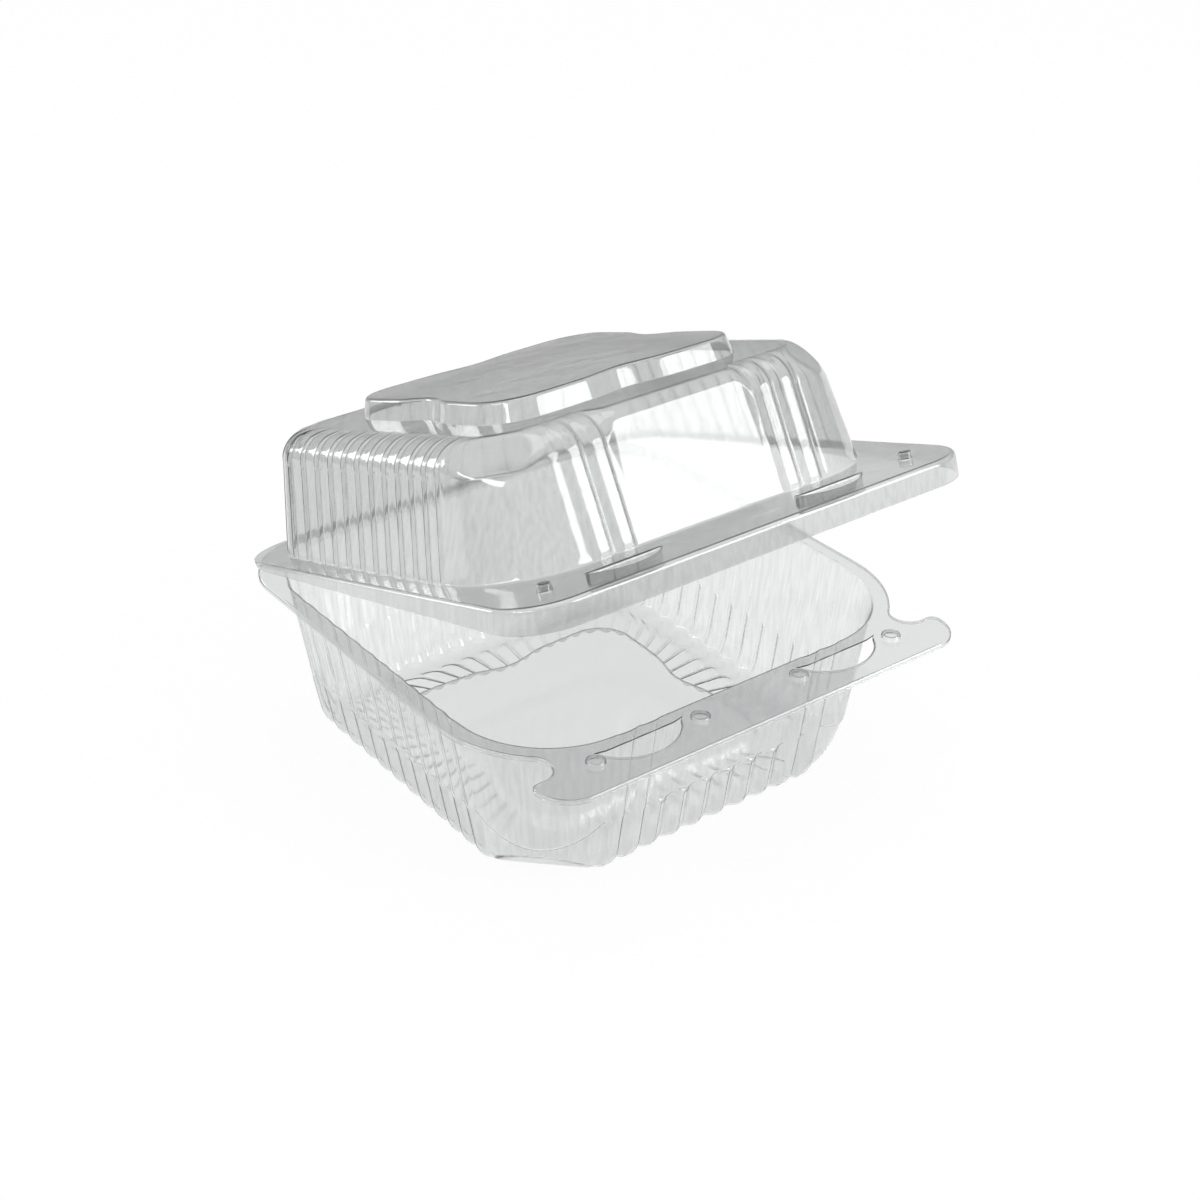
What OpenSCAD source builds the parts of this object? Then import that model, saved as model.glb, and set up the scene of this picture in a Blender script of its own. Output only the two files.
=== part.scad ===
// Clear hinged food box: a square tray and a domed lid, formed from one thin clear sheet.
// The tray stands on z = 0 and the lid turns about the back edge of the tray's rim.

/* [Sheet] */
// Thickness of the formed sheet
sheet = 0.4; // [0.3:0.05:0.6]
// Thickness of the wall's lip where it is let into the rim
lip_t = 0.2; // [0.1:0.05:0.25]

/* [Tray body] */
// Mouth of the tray from side to side
mouth_w = 130; // [110:1:160]
// Mouth of the tray from front to back
mouth_l = 130; // [110:1:160]
// Corner radius of the mouth at the front
mouth_r = 28; // [24:1:32]
// How much tighter the back corners of the body are
back_tighter = 5; // [0:0.5:7]
// Height of the rim's upper face above the table
tray_h = 47; // [36:0.5:60]
// How far the walls lean in from the mouth to the ledge
wall_lean = 4.25; // [3:0.25:7]
// Height of the ledge that parts the wall from the foot band
ledge_h = 17.5; // [12:0.5:22]
// Width of that ledge
ledge_w = 0.8; // [0.5:0.1:1.5]
// How far the foot band leans in
band_lean = 2.2; // [1.5:0.1:4]
// Height at which the foot band turns under
band_h = 4; // [3:0.25:6]
// Width of the turn from the band to the foot
foot_turn = 2.1; // [1.5:0.1:4]
// Width of the flat foot that stands on the table
foot_w = 4; // [3:0.25:6]
// Reach of the flat facet across each front corner of the foot, from the corner's centre at the table
foot_facet = 12.6; // [12:0.2:16]
// How far the ledge sinks in the middle of each smooth front corner
bay_sink = 6; // [0:0.5:10]

/* [Tray floor] */
// Side of the raised floor panel
panel_w = 79; // [64:1:90]
// Corner radius of the raised floor panel
panel_r = 12; // [8:0.5:16]
// Height of the floor panel over the foot
panel_h = 3.4; // [2:0.2:6]
// Width of the sloped edge of the floor panel
panel_edge = 1.6; // [0.8:0.1:3]
// Dip in the middle of each side of the floor panel
panel_dip = 3; // [0:0.25:5]
// Where the ribs start between the foot and the floor panel
rib_start_share = 0.3; // [0.2:0.05:0.5]
// Height of the ribs between the foot and the floor panel
rib_h = 1; // [0:0.1:1.8]

/* [Flutes] */
// Flutes along each plain side
side_flutes = 11; // [6:1:12]
// Flutes around each back corner
corner_flutes = 4; // [3:1:5]
// Ridges on each side of the flat front window
front_ridges = 2; // [1:1:3]
// Flutes of the foot band below the window
window_flutes = 6; // [4:1:8]
// Depth of the flutes in the walls
flute_d = 0.9; // [0.3:0.1:1.4]
// Depth of the flutes in the foot band
foot_flute_d = 1.7; // [0.3:0.1:2.2]
// Width of the flat front window
window_w = 46; // [30:1:56]
// Straight pieces across the window of the lid
window_steps = 8; // [4:1:12]
// Straight pieces that round each smooth front corner
corner_steps = 8; // [5:1:12]
// Where the groove and the two shoulders of a flute stand along it
flute_at_shares = [0, 0.2, 0.8];
// How far each of those stands out
flute_out_shares = [0, 1, 1];
// How much of a side the deep part of a dip takes
dip_share = 0.5; // [0.3:0.05:1]
// How much of a dip runs over the whole side, so that no side of a panel is quite straight
dip_wide_share = 0.25; // [0.1:0.05:1]

/* [Tray rim] */
// Width of the rim beside the mouth
rim_w = 5; // [4:0.25:8]
// Corner radius of the rim at the back
rim_back_r = 19.5; // [12:0.5:26]
// Reach of the front tab in front of the rim
tab_reach = 12.5; // [10:0.5:16]
// Width of the front tab over its two ears
ear_span = 133.2; // [110:0.2:138]
// Distance from the back edge of the ears to the front edge of the tab
ear_l = 12.7; // [10:0.1:16]
// Radius of the ears at the front
ear_front_r = 10; // [6:0.5:12]
// Radius of the ears at the back
ear_back_r = 2.5; // [1:0.25:4]
// Radius of the necks between the rim and the ears
neck_r = 5; // [3:0.25:6]
// How far the necks' rounds bite into the rim's rounds
neck_bite = 0.05; // [0.03:0.01:0.2]
// Height of the turned down edge of the rim
edge_h = 1.3; // [0.8:0.1:2]
// Distance from the mouth to the rim's fillet
rim_fillet = 0.6; // [0.4:0.05:1]

/* [Latches] */
// Distance of each latch from the middle
latch_x = 32.5; // [26:0.5:38]
// Length of the latch slots
slot_l = 25.2; // [18:0.2:28]
// Depth of the latch slots at their widest
slot_d = 7.2; // [5:0.1:9]
// Strip between the mouth and the slots
slot_strip = 4; // [3:0.1:5]
// Height of the lip under the round side of the slots
slot_lip_h = 1.2; // [0.6:0.1:2]
// Depth of the lid's latch tongues under the rim
tongue_h = 3.4; // [2:0.1:5]
// Clearance of the tongues in their slots
tongue_clear = 0.7; // [0.5:0.05:1.2]

/* [Buttons] */
// Diameter of the buttons on the tab
button_d = 5.1; // [3:0.1:6]
// Height of the buttons
button_h = 1.5; // [0.8:0.1:2]
// Distance of the inner buttons from the middle
button_x = 16.2; // [12:0.2:18]
// Distance of the buttons in front of the mouth
button_y = 7.2; // [6:0.1:8]
// Diameter of the lid's corner bumps
bump_d = 3.8; // [2.5:0.1:5]
// Height of the lid's corner bumps
bump_h = 2.2; // [1:0.1:3]
// Distance of the lid's corner bumps from the middle
bump_x = 57; // [52:0.5:60]

/* [Lid] */
// How far the lid stands open
rest_angle = 19; // [5:0.5:60]
// Clearance between the lid's rim and the tray's rim
rim_clear = 0.3; // [0.2:0.05:0.6]
// How far the dome's foot stands in from the mouth
dome_in = 2; // [1.5:0.1:4]
// How far the dome's walls lean in
dome_lean = 4.4; // [3:0.1:6]
// Height of the dome's main face over the tray's rim
dome_h = 33.6; // [24:0.2:44]
// Width of the dome's round shoulder
shoulder_w = 9.5; // [6:0.25:12]
// Height of the dome's round shoulder
shoulder_h = 8; // [5:0.25:10]
// Places on the shoulder from the wall inward
shoulder_in_shares = [0.2, 0.5];
// Places on the shoulder from its top down
shoulder_down_shares = [0.4, 0.12];
// How much of the flutes is left at those places
shoulder_flute_shares = [1, 0.7];
// How much of the shoulder's round is left over the window
window_round_share = 0.5; // [0.3:0.05:1]
// Reach of the flat facet across each front corner of the dome, from the corner's centre at the rim
facet_reach = 46; // [42:0.5:52]
// Side of the raised platform on the dome
deck_w = 77; // [66:1:84]
// Corner radius of the platform
deck_r = 12; // [8:0.5:16]
// Height of the platform over the dome
deck_h = 5.4; // [3:0.2:8]
// Width of the platform's sloped edge
deck_edge = 1.5; // [0.8:0.1:3]
// Dip in the middle of each side of the platform
deck_dip = 3; // [0:0.25:5]
// Clearance between the lid's skirt and the tray's rim
skirt_clear = 1; // [0.8:0.1:2]
// Clearance between the lid's skirt and the front tab
skirt_front_clear = 1.6; // [1.2:0.1:3]
// Corner radius of the lid's skirt at the front
skirt_front_r = 15; // [12:0.5:18]
// Height of the skirt below the rim at the front
skirt_h = 6.2; // [4:0.2:8]
// Height of the skirt below the rim at the hinge
skirt_back_h = 0.6; // [0.4:0.1:1]

/* [Hinge] */
// Radius of the bead along the back of the tray's rim
bead_r = 0.7; // [0.5:0.05:1]
// Clearance between the bead and the lid's curl
hinge_clear = 0.3; // [0.2:0.05:0.5]
// Angle over which the curl wraps the bead
curl_angle = 95; // [60:5:110]
// Angle from the back at which the curl leaves the lid's rim
curl_start = 155; // [150:1:160]

/* [Parts] */
// Names of the formed parts
// The part to draw

/* [Hidden] */
// Length by which cutting bodies run past what they cut
over = 1;
// Half of the mouth each way
mouth_x = mouth_w / 2;
mouth_y = mouth_l / 2;
// Half of the rim each way
rim_x = mouth_x + rim_w;
rim_y = mouth_y + rim_w;
// Front corner radius of the rim, about the same centre as the mouth's corner
rim_front_r = mouth_r + rim_w + 2 * rim_fillet;
// Front edge of the tab and back edge of the ears
tab_y = -rim_y - tab_reach;
ear_y = tab_y + ear_l;
// Hinge line, along the back edge at the middle of the rim's thickness
hinge_y = rim_y;
hinge_z = tray_h - sheet / 2;
// Inner and outer radius of the lid's curl
curl_in = bead_r + hinge_clear;
curl_out = curl_in + sheet;
// Angles at the middle and the end of the curl
curl_middle = curl_start - curl_angle / 2;
curl_end = curl_start - curl_angle;
// Straight length of the hinge
hinge_l = 2 * (rim_x - rim_back_r);
// Hole in the rim plate, a little wider than the mouth so that the wall's lip runs into it
plate_hole = 2 * rim_fillet;
lip_reach = 3 * rim_fillet;
// Straight half of the mouth's sides between the corners
side_half = mouth_x - mouth_r;
window_share = window_w / 2 / side_half;
// Depth of the latch circle: the slot is a slice of it
slot_r = (pow(slot_l / 2, 2) + pow(slot_d, 2)) / (2 * slot_d);
slot_y = -mouth_y - slot_strip;
// Row of the buttons and bumps
button_row = -mouth_y - button_y;
// Shift that puts the middle of the whole box on the origin
box_shift = -(hinge_y + curl_out + tab_y) / 2;
// Lid rim: under face, upper face and outline
lid_under = tray_h + rim_clear;
lid_top = lid_under + sheet;
skirt_x = rim_x + skirt_clear + sheet;
skirt_front = tab_y - skirt_front_clear - sheet;
skirt_back_r = rim_back_r + skirt_clear + sheet;
lid_back = hinge_y - curl_in + hinge_clear / 2;
// How far the tray's walls lean in for each unit of height
wall_slope = wall_lean / (tray_h - ledge_h);
// How much of the window's width has its sharper upper edge
window_inner_share = 0.95;
// How far the corner facets lean for each unit of height
facet_slope = 1;
// How much of the foot's width the facet takes
foot_cut_share = 0.5;
// Least share of a joint's width that the sheet keeps at a sharp bend
bend_share = 0.5;
// Slope of the skirt's lower edge
skirt_slope = atan((skirt_h - skirt_back_h) / (lid_back - skirt_front));
$fn = 48;

// One step between two values
function mix(a, b, t) = a + (b - a) * t;

// A plan vector after k quarter turns to the left
function turned(v, k) = k == 0 ? v : turned([-v[1], v[0]], k - 1);

// A run of n flutes: place along the run, how far the wall stands out and how far the foot does
function flutes(n) = [
    for (k = [0:n - 1])
        for (j = [0:len(flute_at_shares) - 1])
            [(k + flute_at_shares[j]) / n, flute_out_shares[j], flute_out_shares[j]]
];

// A smooth run
function plain_run(n) = [for (k = [0:n - 1]) [k / n, 0, 0]];

// A run whose wall is smooth over a fluted foot
function foot_run(n) = [for (s = flutes(n)) [s[0], 0, s[2]]];

// A run squeezed into one stretch of another
function squeezed(run, from, to) = [for (s = run) [mix(from, to, s[0]), s[1], s[2]]];

// The front: ridges, the flat window, ridges
function front_run(window) =
    let (edge = (1 - window_share) / 2)
        concat(
            squeezed(flutes(front_ridges), 0, edge),
            squeezed(window, edge, 1 - edge),
            squeezed(flutes(front_ridges), 1 - edge, 1)
        );

// How deep a dip is at a place along a side
function dip_at(s) =
    let (u = min(max((s - 0.5) / dip_share + 0.5, 0), 1))
        mix(1 - cos(360 * u), 1 - cos(360 * s), dip_wide_share) / 2;

// Stations on side k: corner-centre share, direction outward, wall flute, foot flute, dip, facet, bay,
// and whether the station lies in the window
function side_part(run, k) = [
    for (s = run)
        [turned([2 * s[0] - 1, -1], k), turned([0, -1], k), s[1], s[2], dip_at(s[0]), 0, 0,
         k == 0 && abs(2 * s[0] - 1) < window_share * window_inner_share ? 1 : 0]
];

// Stations round the corner that follows side k, with the facet's lean to each and how deep a bay sinks
// there, where the corner has them
function corner_part(run, k, facet) = [
    for (s = run)
        [turned([1, -1], k), turned([sin(90 * s[0]), -cos(90 * s[0])], k), s[1], s[2], 0,
         facet * cos(90 * s[0] - 45), facet * sin(180 * s[0]), 0]
];

// All the stations round the body, from the front to the left
function plan(window) = concat(
    side_part(front_run(window), 0), corner_part(plain_run(corner_steps), 0, 1),
    side_part(flutes(side_flutes), 1), corner_part(flutes(corner_flutes), 1, 0),
    side_part(flutes(side_flutes), 2), corner_part(flutes(corner_flutes), 2, 0),
    side_part(flutes(side_flutes), 3), corner_part(plain_run(corner_steps), 3, 1)
);

// A ring of the body: inset from the mouth, height, front corner radius, how much tighter the back ones
// are, wall flute, foot flute, dip, lift of the ribs, thickness, sink of the bays, step in from the facet,
// and how far the window's edge is pushed out and up there
function ring(inset, z, r, tighter, flute, foot, dip, lift, t, sink = 0, step = 0, edge = [0, 0]) =
    [inset, z, r, tighter, flute, foot, dip, lift, t, sink, step, edge];

// Direction across the sheet at ring j, lengthened so that both neighbouring faces keep the thickness
function across(rings, j) =
    let (
        last = len(rings) - 1,
        p = rings[max(j - 1, 0)],
        q = rings[j],
        s = rings[min(j + 1, last)],
        a = j == 0 ? [s[0] - q[0], s[1] - q[1]] : [q[0] - p[0], q[1] - p[1]],
        b = j == last ? [1, 0] : [s[0] - q[0], s[1] - q[1]],
        na = [-a[1], a[0]] / norm(a),
        nb = [-b[1], b[0]] / norm(b),
        m = (na + nb) / norm(na + nb)
    ) m / max(m * na, m * nb, bend_share);

// A point of the body at a station of the plan and a ring, on one face of the sheet; cut is the facets'
// reach at height zero and how much it grows with height
function body_point(st, rings, j, face, cut) =
    let (
        g = rings[j],
        v = across(rings, j) * face * g[8] / 2,
        inset = g[0] + v[0],
        z = g[1] + v[1] - g[9] * st[6] - g[11][1] * st[7],
        r = g[2] - v[0] - g[3] * (1 + st[0][1]) / 2,
        cx = mouth_x - inset - r,
        cy = mouth_y - inset - r,
        plain = r + g[4] * st[2] + g[5] * st[3] - g[6] * st[4] - g[9] * st[6] * wall_slope
            + g[11][0] * st[7],
        limit = cut[0] + cut[1] * abs(z) - face * sheet / 2 - g[10],
        out = st[5] > 0 && g[6] == 0 ? min(plain, limit / st[5]) : plain
    ) [st[0][0] * cx + st[1][0] * out, st[0][1] * cy + st[1][1] * out, z + g[7] * st[3]];

// Faces of a band between two rings of points, the first ring above the second when seen from outside
function band(first, second, n) = [
    for (i = [0:n - 1])
        let (k = (i + 1) % n)
            each [[first + i, first + k, second + k], [first + i, second + k, second + i]]
];

// A pan of sheet: its rings run from the lip down to the floor
module pan(stations, rings, cut) {
    n = len(stations);
    m = len(rings);
    points = [
        for (face = [-1, 1])
            for (j = [0:m - 1])
                for (st = stations)
                    body_point(st, rings, j, face, cut)
    ];
    faces = concat(
        [for (j = [0:m - 2]) each band(j * n, (j + 1) * n, n)],
        [for (j = [0:m - 2]) each band((m + j + 1) * n, (m + j) * n, n)],
        band(m * n, 0, n),
        [[for (i = [0:n - 1]) (m - 1) * n + i]],
        [[for (i = [0:n - 1]) (2 * m - 1) * n + n - 1 - i]]
    );
    polyhedron(points, faces);
}

// A plate with two corner radii, drawn flat
module plate_2d(half_x, front, back, front_r, back_r) {
    translate([-half_x, front + front_r])
        square([2 * half_x, back - back_r - front - front_r]);
    translate([-half_x + front_r, front])
        square([2 * (half_x - front_r), front_r + over]);
    translate([-half_x + back_r, back - back_r - over])
        square([2 * (half_x - back_r), back_r + over]);
    for (s = [-1, 1]) {
        translate([s * (half_x - front_r), front + front_r])
            circle(front_r);
        translate([s * (half_x - back_r), back - back_r])
            circle(back_r);
    }
}

// Hole of a rim round the body's lip
module hole_2d(out) {
    plate_2d(mouth_x + out, -mouth_y - out, mouth_y + out, mouth_r + out, mouth_r + out - back_tighter);
}

// Web between the rim's round corner and the ear, with the round neck cut from it
module neck_2d(inset) {
    corner = [rim_x - rim_front_r, -rim_y + rim_front_r];
    reach = rim_front_r + neck_r - neck_bite;
    middle = [corner[0] + sqrt(pow(reach, 2) - pow(ear_y + neck_r - corner[1], 2)), ear_y + neck_r];
    touch = corner + (middle - corner) * (rim_front_r - inset - over) / reach;
    difference() {
        polygon([[0, corner[1]], touch, middle, [middle[0], ear_y - inset], [0, ear_y - inset - over]]);
        translate(middle)
            circle(neck_r + inset);
    }
}

// Outline of the tray's rim with its tab and ears, drawn in by an inset
module tray_outline_2d(inset) {
    plate_2d(rim_x - inset, -rim_y + inset, rim_y - inset, rim_front_r - inset, rim_back_r - inset);
    plate_2d(ear_span / 2 - inset, tab_y + inset, ear_y - inset, ear_front_r - inset, ear_back_r - inset);
    neck_2d(inset);
    mirror([1, 0])
        neck_2d(inset);
}

// A latch slice: a circle cut straight along its back
module slice_2d(inset) {
    intersection() {
        translate([0, slot_y - slot_d + slot_r])
            circle(slot_r - inset);
        translate([-slot_l, slot_y - 2 * slot_d])
            square([2 * slot_l, 2 * slot_d - inset]);
    }
}

// A hollow round button, pressed up from below
module button(d, h) {
    difference() {
        cylinder(d = d, h = h);
        translate([0, 0, -over])
            cylinder(d = d - 2 * sheet, h = h + over - sheet);
    }
}

// Flat rim of the tray with its slots
module tray_rim() {
    translate([0, 0, tray_h - sheet])
        linear_extrude(sheet)
            difference() {
                tray_outline_2d(0);
                hole_2d(plate_hole);
                for (s = [-1, 1])
                    translate([s * latch_x, 0])
                        slice_2d(0);
                for (s = [-1, 1])
                    for (k = [1, 3])
                        translate([s * k * button_x, button_row])
                            circle(d = button_d - sheet);
            }
}

// Turned down edge of the tray's rim, left off along the hinge
module tray_edge() {
    translate([0, 0, tray_h - edge_h])
        linear_extrude(edge_h - sheet / 2)
            difference() {
                tray_outline_2d(0);
                tray_outline_2d(sheet);
                translate([-hinge_l / 2 - over, 0])
                    square([hinge_l + 2 * over, 2 * rim_y]);
            }
}

// Lip under the round side of each slot
module slot_lips() {
    for (s = [-1, 1])
        translate([s * latch_x, 0, tray_h - slot_lip_h])
            linear_extrude(slot_lip_h - sheet / 2)
                intersection() {
                    difference() {
                        slice_2d(-sheet);
                        slice_2d(0);
                    }
                    translate([-slot_l, slot_y - 2 * slot_d])
                        square([2 * slot_l, 2 * slot_d]);
                }
}

// Round bead of the hinge along the back of the rim
module hinge_bead() {
    translate([-hinge_l / 2, hinge_y, hinge_z])
        rotate([0, 90, 0])
            cylinder(r = bead_r, h = hinge_l);
}

// Rings of the tray from the lip down to the floor panel
function tray_rings() =
    let (
        mid = sheet / 2,
        wall_top = rim_fillet,
        wall_end = wall_top + wall_lean,
        band_end = wall_end + ledge_w + band_lean,
        foot_out = band_end + foot_turn,
        foot_in = foot_out + foot_w,
        panel_in = mouth_x - panel_w / 2
    ) [
        ring(-lip_reach, tray_h - mid, mouth_r + lip_reach, back_tighter, 0, 0, 0, 0, lip_t),
        ring(-rim_fillet, tray_h - mid, mouth_r + rim_fillet, back_tighter, 0, 0, 0, 0, sheet),
        ring(0, tray_h - mid - rim_fillet, mouth_r, back_tighter, flute_d / 2, 0, 0, 0, sheet),
        ring(wall_top, tray_h - mid - 3 * rim_fillet, mouth_r - wall_top, back_tighter,
             flute_d, 0, 0, 0, sheet),
        ring(wall_end, ledge_h, mouth_r - wall_end, back_tighter, flute_d, 0, 0, 0, sheet, bay_sink),
        ring(wall_end + ledge_w, ledge_h - ledge_w, mouth_r - wall_end - ledge_w, back_tighter,
             0, foot_flute_d, 0, 0, sheet, bay_sink),
        ring(band_end, band_h, mouth_r - band_end, back_tighter, 0, foot_flute_d, 0, 0, sheet),
        ring(foot_out, mid, mouth_r - foot_out, back_tighter, 0, foot_flute_d, 0, 0, sheet),
        ring(foot_in, mid, mouth_r - foot_in, back_tighter, 0, 0, 0, 0, sheet, 0, foot_w * foot_cut_share),
        ring(mix(foot_in, panel_in, rib_start_share), mid + rib_h / 2, panel_r + panel_edge, 0,
             0, 0, 0, rib_h, sheet),
        ring(panel_in, mid + rib_h / 2, panel_r, 0, 0, 0, panel_dip, rib_h, sheet),
        ring(panel_in + panel_edge, mid + panel_h, panel_r - panel_edge, 0, 0, 0, panel_dip, 0, sheet)
    ];

// The tray: body, rim, turned edge, slot lips, buttons and hinge bead in one
module tray() {
    color([0.86, 0.89, 0.9, 0.4])
        translate([0, box_shift, 0]) {
            pan(plan(foot_run(window_flutes)), tray_rings(), [foot_facet, facet_slope]);
            tray_rim();
            tray_edge();
            slot_lips();
            hinge_bead();
            for (s = [-1, 1])
                for (k = [1, 3])
                    translate([s * k * button_x, button_row, tray_h - sheet])
                        button(button_d, button_h + sheet);
        }
}

// Rings of the lid, from its lip up to the platform, as depths below a mirror plane at the rim
function lid_rings() =
    let (
        mid = rim_clear + sheet / 2,
        wall_in = dome_in + rim_fillet,
        wall_end = wall_in + dome_lean,
        deck_in = mouth_x - deck_w / 2,
        sharp = 1 - window_round_share
    ) [
        ring(dome_in - lip_reach, -mid, mouth_r - dome_in + lip_reach, back_tighter, 0, 0, 0, 0, lip_t),
        ring(dome_in - rim_fillet, -mid, mouth_r - dome_in + rim_fillet, back_tighter, 0, 0, 0, 0, sheet),
        ring(dome_in, -mid - rim_fillet, mouth_r - dome_in, back_tighter, flute_d / 2, 0, 0, 0, sheet),
        ring(wall_in, -mid - 3 * rim_fillet, mouth_r - wall_in, back_tighter, flute_d, 0, 0, 0, sheet),
        ring(wall_end, -dome_h + shoulder_h, mouth_r - wall_end, back_tighter, flute_d, 0, 0, 0, sheet,
             0, 0, sharp * [0, shoulder_h]),
        each [
            for (k = [0:len(shoulder_in_shares) - 1])
                let (in = wall_end + shoulder_w * shoulder_in_shares[k])
                    ring(in, -dome_h + shoulder_h * shoulder_down_shares[k], mouth_r - in, back_tighter,
                         flute_d * shoulder_flute_shares[k], 0, 0, 0, sheet, 0, 0,
                         sharp * [shoulder_w * shoulder_in_shares[k], shoulder_h * shoulder_down_shares[k]])
        ],
        ring(wall_end + shoulder_w, -dome_h, deck_r + deck_edge, 0, 0, 0, 0, 0, sheet,
             0, 0, sharp * [shoulder_w, 0]),
        ring(deck_in - deck_edge, -dome_h, deck_r + deck_edge, 0, 0, 0, deck_dip, 0, sheet),
        ring(deck_in, -dome_h - deck_h, deck_r, 0, 0, 0, deck_dip, 0, sheet)
    ];

// Flat rim of the lid
module lid_rim() {
    translate([0, 0, lid_under])
        linear_extrude(sheet)
            difference() {
                plate_2d(skirt_x, skirt_front, lid_back, skirt_front_r, skirt_back_r);
                hole_2d(plate_hole - dome_in);
                for (s = [-1, 1]) {
                    translate([s * latch_x, 0])
                        slice_2d(tongue_clear + sheet);
                    translate([s * bump_x, button_row])
                        circle(d = bump_d - sheet);
                }
            }
}

// Skirt of the lid, cut along a slope so that it grows from the hinge to the front
module lid_skirt() {
    difference() {
        translate([0, 0, lid_under - 2 * skirt_h])
            linear_extrude(2 * skirt_h + sheet / 2)
                difference() {
                    plate_2d(skirt_x, skirt_front, lid_back, skirt_front_r, skirt_back_r);
                    plate_2d(skirt_x - sheet, skirt_front + sheet, lid_back + sheet,
                             skirt_front_r - sheet, skirt_back_r - sheet);
                    translate([-hinge_l / 2 - over, 0])
                        square([hinge_l + 2 * over, 2 * rim_y]);
                }
        translate([0, lid_back, lid_under - skirt_back_h])
            rotate([skirt_slope, 0, 0])
                translate([-2 * skirt_x, -4 * rim_y, -4 * skirt_h])
                    cube([4 * skirt_x, 6 * rim_y, 4 * skirt_h]);
    }
}

// A latch tongue: a hollow slice pressed down from the lid's rim
module tongue() {
    translate([0, 0, lid_under - tongue_h])
        difference() {
            linear_extrude(tongue_h + sheet / 2)
                slice_2d(tongue_clear);
            translate([0, 0, sheet])
                linear_extrude(tongue_h + over)
                    slice_2d(tongue_clear + sheet);
        }
}

// Curl of the lid's back edge round the hinge bead
module lid_curl() {
    translate([-hinge_l / 2, hinge_y, hinge_z])
        rotate([90, 0, 90])
            linear_extrude(hinge_l)
                difference() {
                    intersection() {
                        circle(curl_out);
                        polygon([
                            [0, 0],
                            4 * curl_out * [cos(curl_start), sin(curl_start)],
                            4 * curl_out * [cos(curl_middle), sin(curl_middle)],
                            4 * curl_out * [cos(curl_end), sin(curl_end)]
                        ]);
                    }
                    circle(curl_in);
                }
}

// The lid as it lies shut
module lid_shut() {
    translate([0, 0, tray_h])
        mirror([0, 0, 1])
            pan(plan(plain_run(window_steps)), lid_rings(), [facet_reach, -facet_slope]);
    lid_rim();
    lid_skirt();
    lid_curl();
    for (s = [-1, 1]) {
        translate([s * latch_x, 0, 0])
            tongue();
        translate([s * bump_x, button_row, lid_under])
            button(bump_d, bump_h + sheet);
    }
}

// The lid, standing open on its hinge
module lid() {
    color([0.88, 0.91, 0.92, 0.4])
        translate([0, box_shift + hinge_y, hinge_z])
            rotate([-rest_angle, 0, 0])
                translate([0, -hinge_y, -hinge_z])
                    lid_shut();
}

tray();
lid();
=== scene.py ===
"""Looks of a clear hinged food box: a fluted tray and a domed lid, drawn down from one thin sheet.

Both parts are modelled as the middle surface of the sheet, worked out as grids, and get the sheet's
thickness from a Solidify modifier. Sizes are in millimetres until a mesh is made, the studio's are in
metres, and angles that are fields are in degrees.
"""

import logging
import math
from dataclasses import dataclass
from enum import Enum

import bmesh
import bpy
import numpy as np
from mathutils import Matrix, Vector, geometry

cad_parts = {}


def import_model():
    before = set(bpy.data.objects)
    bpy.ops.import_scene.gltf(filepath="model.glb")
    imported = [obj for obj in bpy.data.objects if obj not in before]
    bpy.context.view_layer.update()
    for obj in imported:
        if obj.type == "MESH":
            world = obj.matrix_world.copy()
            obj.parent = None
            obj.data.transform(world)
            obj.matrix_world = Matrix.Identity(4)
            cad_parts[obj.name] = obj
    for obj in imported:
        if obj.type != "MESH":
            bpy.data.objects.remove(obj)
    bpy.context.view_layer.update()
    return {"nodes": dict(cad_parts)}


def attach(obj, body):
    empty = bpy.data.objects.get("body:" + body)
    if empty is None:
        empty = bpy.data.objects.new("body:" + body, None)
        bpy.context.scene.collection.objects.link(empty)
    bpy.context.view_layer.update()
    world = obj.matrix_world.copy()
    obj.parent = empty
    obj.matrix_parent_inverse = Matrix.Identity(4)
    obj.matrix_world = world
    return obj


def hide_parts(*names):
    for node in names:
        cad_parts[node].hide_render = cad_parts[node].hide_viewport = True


LOG = logging.getLogger("food_box")
MM = 0.001  # metres in a millimetre
WELD = 0.002  # points of the surfaces that lie nearer than this become one
FILL_WELD = 1e-7  # points of a flat fill that lie nearer than this become one
CUT_EDGE = 60.0  # edges that turn by more than this, in degrees, look sharp
FLANK_STEPS = 5  # points on each flank of a groove
FLAT_STEPS = 4  # points on the flat of a rib, with both its ends
FILLET_STEPS = 5  # points on the fillet of a button or a tongue
FILLET_SHARE = 0.48  # most that a fillet takes of the span beside it
SLICE_STEPS = 36  # points on the round side of a latch slice
SLICE_BACK_STEPS = 12  # points on its straight side, with both its ends
DIP_SHARE = 0.5  # share of a panel's side that its dip takes
DIP_WIDE_SHARE = 0.25  # share of the dip that is spread over the whole side
PANE_EDGE = 0.08  # share of half the front over which the window sets in
PANEL_DIP = 1.0  # rows that dip this far or further belong to a panel
FACET_LEAST = 0.1  # least cosine that a facet's reach is divided by
MIX_A, MIX_B, MIX_RESULT = 6, 7, 2  # places of the colour sockets on a Mix node


class Window(Enum):
    """What the front window's foot looks like."""

    PLAIN = "plain"
    FLUTED_FOOT = "fluted foot"


class Ray(Enum):
    """Kinds of ray that see the white floor's glow, by the names of their sockets."""

    CAMERA = "Is Camera Ray"
    GLOSSY = "Is Glossy Ray"
    TRANSMISSION = "Is Transmission Ray"


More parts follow.
